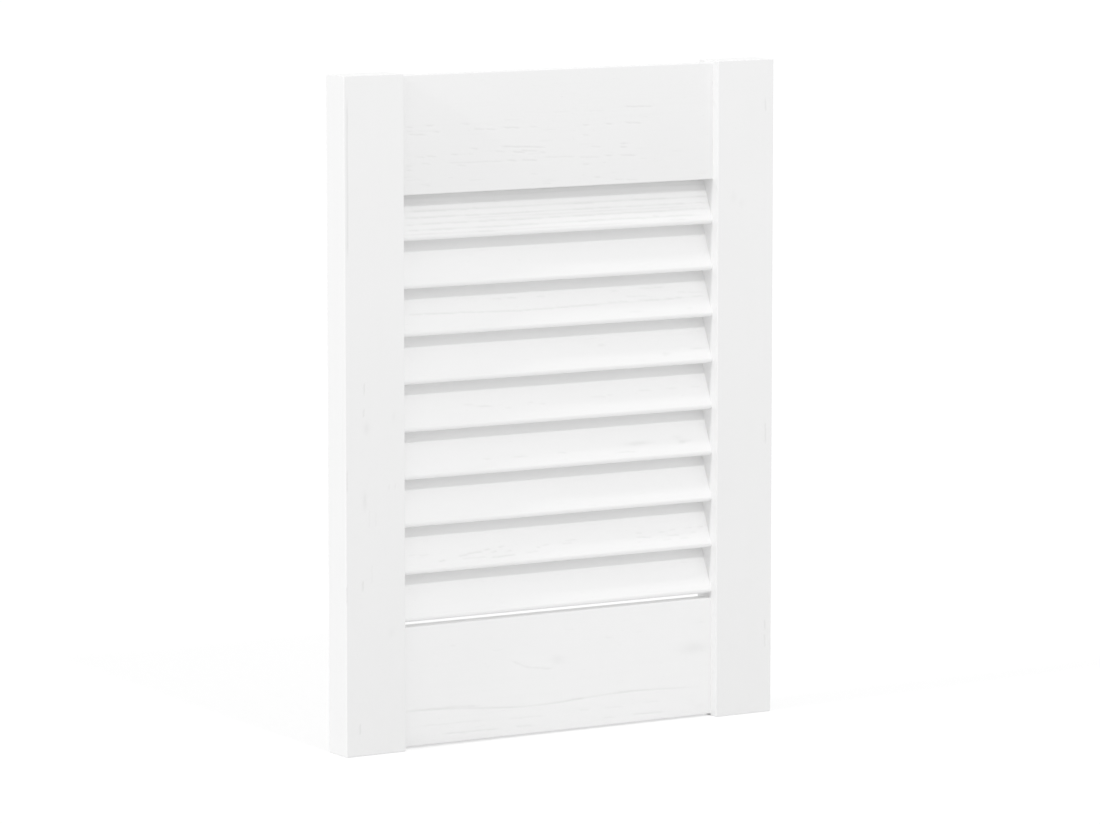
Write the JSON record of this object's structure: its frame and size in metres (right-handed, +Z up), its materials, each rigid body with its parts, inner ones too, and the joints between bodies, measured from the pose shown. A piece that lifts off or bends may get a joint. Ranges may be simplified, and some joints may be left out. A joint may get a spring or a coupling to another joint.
{
  "type": "louvred cupboard door",
  "caption": "Small louvred cupboard door leaf: painted pine stiles and set-back rails around fixed, tilted, round-edged slats that let air through.",
  "frame": {"origin": "middle of the hinge edge's face, on the left stile, at mid-height and mid-thickness", "axes": "+X from the hinge edge to the closing edge, +Y from front to back, +Z up"},
  "size_m": [0.294, 0.021, 0.395],
  "materials": {
    "painted_pine": "white satin paint over pine, grain showing through"
  },
  "bodies": {
    "root": {"left_stile": "painted_pine", "right_stile": "painted_pine", "top_rail": "painted_pine", "bottom_rail": "painted_pine", "slat_1": "painted_pine", "slat_2": "painted_pine", "slat_3": "painted_pine", "slat_4": "painted_pine", "slat_5": "painted_pine", "slat_6": "painted_pine", "slat_7": "painted_pine", "slat_8": "painted_pine", "slat_9": "painted_pine"}
  },
  "joints": []
}
